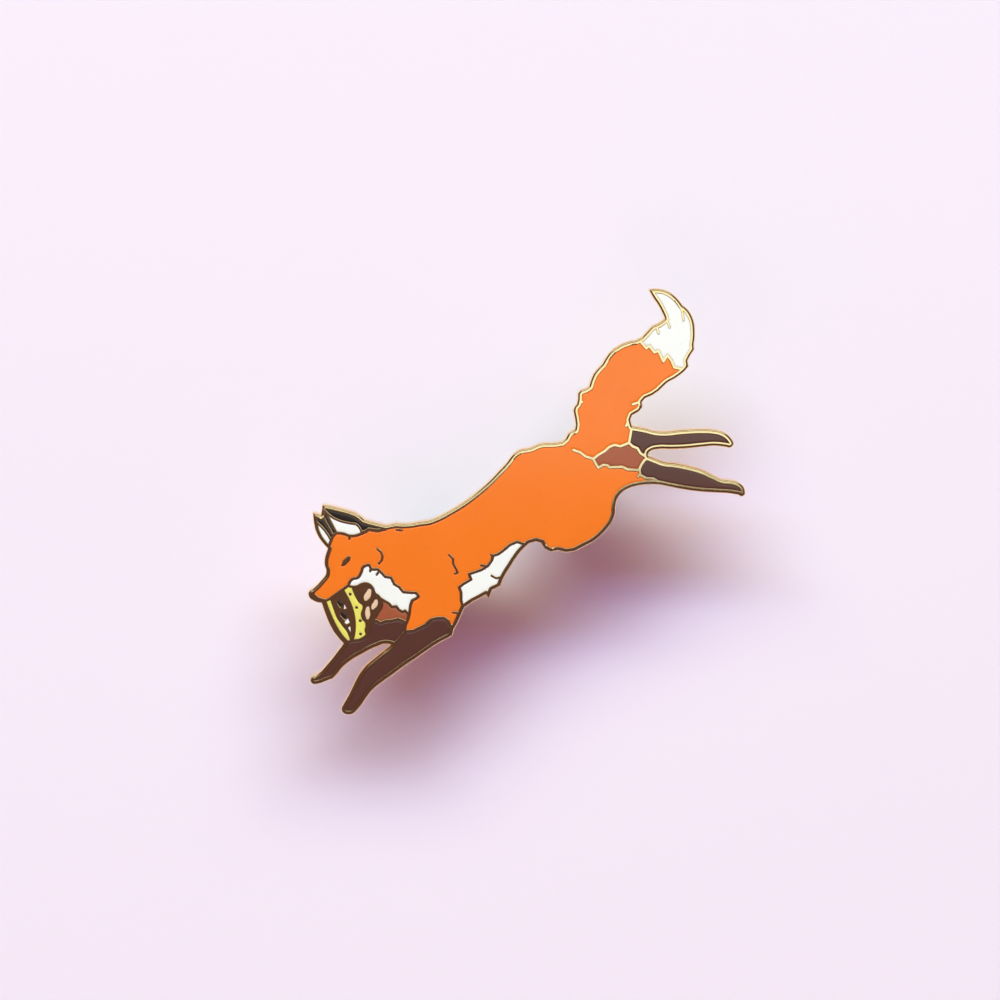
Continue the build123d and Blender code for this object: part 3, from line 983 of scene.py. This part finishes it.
@dataclass
class EnamelFills:
    """The inlays of hard enamel, one for each cell or chip. Lengths are in millimetres."""

    colours: dict[EnamelColour, tuple[str, ...]]
    dip: RolledEdge = RolledEdge(0.16, 0.022, rows=(0.35, 0.7, 1.0, 1.3), hollow=True)
    spread_under: float = 0.014

    def build(self) -> list[bpy.types.Object]:
        """Builds every inlay and puts it on the frame.

        Returns:
            The inlays.
        """
        fills = []
        for colour, nodes in self.colours.items():
            material = HardEnamel(colour).material()
            for node in nodes:
                fill = self.fill(node, material)
                hand_over(fill, colour.slot, node)
                fills.append(fill)
        return fills

    def fill(self, node: str, material: bpy.types.Material) -> bpy.types.Object:
        """Builds one inlay, whose face dips a little towards the metal.

        Args:
            node: The CAD node that it stands for.
            material: Its finish.

        Returns:
            The inlay.
        """
        low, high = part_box(node)
        loops = [
            loop.cleaned().widened(self.spread_under) for loop in face_loops(node, self.dip)
        ]
        face = FlatFace(loops)
        top, bottom = high.z / MM - face.fall, np.full(len(face.points), low.z / MM)
        shell = Shell()
        shell.add_sheet(face.points, top, face.inside)
        shell.add_sheet(face.points, bottom, face.inside, up=False)
        for rim in face.rims:
            shell.add_wall(face.points[rim], top[rim], bottom[rim])
        return shell.to_object(node.replace("enamel_", "fill_"), [material])


@dataclass
class RubberClutch:
    """A moulded rubber clutch: a broad flange, a waist with grip ribs and a foot.

    Lengths are in millimetres.
    """

    node: str
    sides: int = 96
    rib_count: int = 18
    rib_radius: float = 0.24
    rib_height: float = 1.7
    rib_ring: float = 2.82
    rib_middle: float = 2.95
    profile: tuple[tuple[float, float], ...] = (
        (0.0, 0.16), (1.9, 0.16), (2.1, 0.12), (2.25, 0.03), (2.35, 0.0), (3.2, 0.0), (3.38, 0.05),
        (3.52, 0.17), (3.6, 0.36), (3.6, 1.2), (3.55, 1.38), (3.42, 1.5), (3.2, 1.62),
        (3.02, 1.8), (2.92, 2.05), (2.9, 2.35), (2.9, 3.55), (2.95, 3.8), (3.15, 4.02),
        (3.5, 4.18), (4.1, 4.33), (4.34, 4.44), (4.46, 4.6), (4.5, 4.8), (4.5, 5.6), (4.46, 5.8),
        (4.34, 5.93), (4.15, 6.0), (3.9, 6.0), (3.78, 5.96), (3.68, 5.88), (2.6, 5.82), (2.45, 5.88),
        (2.3, 5.97), (2.15, 6.0), (1.0, 6.0), (0.86, 5.95), (0.62, 5.6), (0.6, 5.4), (0.6, 0.9),
        (0.0, 0.9),
    )

    def build(self, material: bpy.types.Material) -> bpy.types.Object:
        """Builds the clutch and puts it on the frame.

        Args:
            material: Its finish.

        Returns:
            The clutch.
        """
        shell = Shell()
        centre = middle_of(self.node)
        shell.add_turned(centre, list(self.profile), self.sides)
        body = shell.to_object(self.node.replace("clutch_", "rubber_clutch_"), [material])
        self.add_ribs(body, centre, material)
        hand_over(body, "clutch_rubber", self.node)
        return body

    def add_ribs(
        self, body: bpy.types.Object, centre: Vector, material: bpy.types.Material
    ) -> None:
        """Stands the grip ribs round the waist with Geometry Nodes, and keeps the plain mesh.

        Args:
            body: The turned clutch.
            centre: The post's place in plan.
            material: The finish.
        """
        tree = ring_of_ribs()
        modifier = body.modifiers.new("grip_ribs", "NODES")
        modifier.node_group = tree
        values = {
            "Rib Count": self.rib_count,
            "Ring Radius": self.rib_ring * MM,
            "Rib Radius": self.rib_radius * MM,
            "Rib Height": self.rib_height * MM,
            "Middle": (centre.x * MM, centre.y * MM, self.rib_middle * MM),
            "Finish": material,
        }
        for item in tree.interface.items_tree:
            if item.item_type == "SOCKET" and item.name in values:
                modifier[item.identifier] = values[item.name]
        bpy.context.view_layer.update()
        evaluated = body.evaluated_get(bpy.context.evaluated_depsgraph_get())
        body_mesh = bpy.data.meshes.new_from_object(evaluated)
        body.modifiers.remove(modifier)
        body.data = body_mesh


def ring_of_ribs() -> bpy.types.NodeTree:
    """Builds the Geometry Nodes tree that stands round-ended ribs in a ring.

    Returns:
        The tree, with named inputs for the sizes.
    """
    tree = bpy.data.node_groups.new("ring_of_ribs", "GeometryNodeTree")
    for name, kind in (
        ("Geometry", "NodeSocketGeometry"), ("Rib Count", "NodeSocketInt"),
        ("Ring Radius", "NodeSocketFloat"), ("Rib Radius", "NodeSocketFloat"),
        ("Rib Height", "NodeSocketFloat"), ("Middle", "NodeSocketVector"),
        ("Finish", "NodeSocketMaterial"),
    ):
        tree.interface.new_socket(name, in_out="INPUT", socket_type=kind)
    tree.interface.new_socket("Geometry", in_out="OUTPUT", socket_type="NodeSocketGeometry")
    given = add_node(tree, "NodeGroupInput").outputs
    ring = add_node(
        tree, "GeometryNodeMeshCircle",
        inputs={"Vertices": given["Rib Count"], "Radius": given["Ring Radius"]},
    )
    ball = add_node(
        tree, "GeometryNodeMeshUVSphere",
        inputs={"Segments": 12, "Rings": 9, "Radius": given["Rib Radius"]},
    )
    place = add_node(tree, "GeometryNodeInputPosition").outputs[0]
    height = add_node(tree, "ShaderNodeSeparateXYZ", inputs={0: place}).outputs["Z"]
    side = add_node(tree, "ShaderNodeMath", {"operation": "SIGN"}, {0: height}).outputs[0]
    half = add_node(
        tree, "ShaderNodeMath", {"operation": "MULTIPLY"}, {0: given["Rib Height"], 1: 0.5}
    ).outputs[0]
    reach = add_node(tree, "ShaderNodeMath", {"operation": "MULTIPLY"}, {0: side, 1: half})
    lift = add_node(tree, "ShaderNodeCombineXYZ", inputs={"Z": reach.outputs[0]})
    rib = add_node(
        tree, "GeometryNodeSetPosition", inputs={"Geometry": ball.outputs[0], "Offset": lift.outputs[0]}
    )
    smooth = add_node(tree, "GeometryNodeSetShadeSmooth", inputs={0: rib.outputs[0]})
    ribs = add_node(
        tree, "GeometryNodeInstanceOnPoints",
        inputs={"Points": ring.outputs[0], "Instance": smooth.outputs[0]},
    )
    placed = add_node(
        tree, "GeometryNodeTransform",
        inputs={"Geometry": ribs.outputs[0], "Translation": given["Middle"]},
    )
    real = add_node(tree, "GeometryNodeRealizeInstances", inputs={0: placed.outputs[0]})
    joined = add_node(tree, "GeometryNodeJoinGeometry", inputs={0: real.outputs[0]})
    tree.links.new(given["Geometry"], joined.inputs[0])
    whole = add_node(tree, "GeometryNodeRealizeInstances", inputs={0: joined.outputs[0]})
    dressed = add_node(
        tree, "GeometryNodeSetMaterial",
        inputs={"Geometry": whole.outputs[0], "Material": given["Finish"]},
    )
    add_node(tree, "NodeGroupOutput", inputs={0: dressed.outputs[0]})
    return tree


class Reach(Enum):
    """Which surfaces a panel's light reaches."""

    MATT = "matt"
    MIRRORED = "mirrored"


@dataclass(frozen=True)
class Panel:
    """An oblong light panel. Lengths are in metres, and its light in watts.

    Attributes:
        reach: Whether it lights matt surfaces alone, or shows in glossy ones alone, so that the
            light on the backing and what the gold mirrors are set apart from each other.
        aim: The point that its middle faces.
    """

    name: str
    place: tuple[float, float, float]
    size: tuple[float, float]
    watts: float
    colour: str
    reach: Reach
    aim: tuple[float, float, float] = (0.0, 0.0, 0.01)

    def build(self) -> bpy.types.Object:
        """Hangs the panel and turns it to its aim.

        Returns:
            The light.
        """
        data = bpy.data.lights.new(self.name, "AREA")
        data.shape = "RECTANGLE"
        data.size, data.size_y = self.size
        data.energy = self.watts
        data.color = linear(self.colour)[:3]
        light = bpy.data.objects.new(self.name, data)
        light.visible_diffuse = self.reach is Reach.MATT
        light.visible_glossy = self.reach is Reach.MIRRORED
        light.visible_camera = False
        light.location = self.place
        way = Vector(self.aim) - Vector(self.place)
        light.rotation_euler = way.to_track_quat("-Z", "Y").to_euler()
        bpy.context.scene.collection.objects.link(light)
        return light


@dataclass
class Studio:
    """The backing, the lights and the camera. Lengths are in metres.

    The window's two parts are 2.4 m off, at 40 and 32 degrees over the horizon.
    """

    backing_half: float = 1.5
    ambient: str = "#5A4340"
    seen_width: float = 0.09975
    look_at: tuple[float, float, float] = (-0.00265, 0.00042, 0.0099)
    camera_place: tuple[float, float, float] = (-0.0061, 0.0279, 0.236)
    sensor_mm: float = 36.0
    panels: tuple[Panel, ...] = (
        Panel("window_upper", (-0.064, 1.837, 1.543), (3.2, 0.5), 68.0, "#BFD6FF", Reach.MATT),
        Panel("window_lower", (-0.071, 2.034, 1.272), (3.6, 0.64), 72.0, "#EBFFB8", Reach.MATT),
        Panel("window_glow", (-0.07, 1.966, 1.387), (3.6, 0.68), 12.0, "#F4FFF4", Reach.MIRRORED),
        Panel(
            "overhead_card", (0.012, 0.0251, 0.45), (0.224, 0.1418), 0.1158, "#EDFFF9",
            Reach.MIRRORED, aim=(0.012, 0.0251, 0.0),
        ),
        Panel("far_wall", (0.0, 1.0, 1.73), (2.4, 1.26), 2.1, "#FFF4E6", Reach.MIRRORED),
        Panel("room_fill", NEAR_LEFT, (4.0, 2.6), 23.7, "#FFA0CC", Reach.MATT),
        Panel("near_wall", NEAR_LEFT, (4.0, 2.6), 8.5, "#FFAE7F", Reach.MIRRORED),
    )

    def build(self) -> None:
        """Lays the backing, hangs the lights and sets up the camera."""
        self.lay_backing()
        for panel in self.panels:
            panel.build()
        self.fill_room()
        self.set_up_camera()

    def lay_backing(self) -> None:
        """Lays the plain backing under the brooch."""
        half = self.backing_half
        mesh = bpy.data.meshes.new("backing")
        corners = [(-half, -half, 0), (half, -half, 0), (half, half, 0), (-half, half, 0)]
        mesh.from_pydata(corners, [], [(0, 1, 2, 3)])
        mesh.materials.append(PaleBacking().material())
        backing = bpy.data.objects.new("backing", mesh)
        bpy.context.scene.collection.objects.link(backing)

    def fill_room(self) -> None:
        """Gives the room its dim even light."""
        world = bpy.data.worlds.new("room")
        bpy.context.scene.world = world
        world.use_nodes = True
        tree = world.node_tree
        tree.nodes.clear()
        light = add_node(tree, "ShaderNodeBackground", inputs={"Color": linear(self.ambient)})
        add_node(tree, "ShaderNodeOutputWorld", inputs={"Surface": light.outputs[0]})

    def set_up_camera(self) -> None:
        """Hangs the camera over the brooch, with the picture's up along +Y."""
        place, target = Vector(self.camera_place), Vector(self.look_at)
        back = (place - target).normalized()
        right = Vector((0, 1, 0)).cross(back).normalized()
        up = back.cross(right)
        data = bpy.data.cameras.new("camera")
        data.sensor_width = self.sensor_mm
        data.lens = self.sensor_mm * (place - target).length / self.seen_width
        data.clip_start = 0.01
        camera = bpy.data.objects.new("camera", data)
        turn = Matrix((right, up, back)).transposed().to_4x4()
        camera.matrix_world = Matrix.Translation(place) @ turn
        bpy.context.scene.collection.objects.link(camera)
        bpy.context.scene.camera = camera


FILLS: dict[EnamelColour, tuple[str, ...]] = {
    EnamelColour.ORANGE: ("enamel_body",),
    EnamelColour.WHITE: (
        "enamel_tail_tip", "enamel_ruff", "enamel_belly", "enamel_near_ear_inside",
        "enamel_far_ear_inside", "enamel_egg_chip_upper", "enamel_egg_chip_middle",
        "enamel_egg_chip_lower",
    ),
    EnamelColour.DARK_BROWN: (
        "enamel_near_foreleg", "enamel_far_foreleg", "enamel_near_hind_leg",
        "enamel_far_hind_leg",
    ),
    EnamelColour.RUST: ("enamel_far_shoulder", "enamel_far_thigh"),
    EnamelColour.BLACK: (
        "enamel_near_ear_tip", "enamel_near_ear_front", "enamel_far_ear_front",
        "enamel_egg_diamond_upper", "enamel_egg_diamond_lower",
    ),
    EnamelColour.YELLOW: ("enamel_egg_crescent", "enamel_egg_band"),
    EnamelColour.PEACH: (
        "enamel_egg_petal_upper", "enamel_egg_petal_right", "enamel_egg_petal_lower",
    ),
}


def main() -> None:
    """Builds the pieces in order, then the studio."""
    logging.basicConfig(level=logging.INFO, format="%(name)s: %(message)s", stream=sys.stdout)
    bpy.context.scene.view_settings.view_transform = "Standard"
    StruckPlate().build()
    EnamelFills(FILLS).build()
    rubber = MouldedRubber().material()
    for node in CLUTCHES:
        RubberClutch(node).build(rubber)
    Studio().build()
    bpy.context.view_layer.update()


if __name__ == "__main__":
    main()
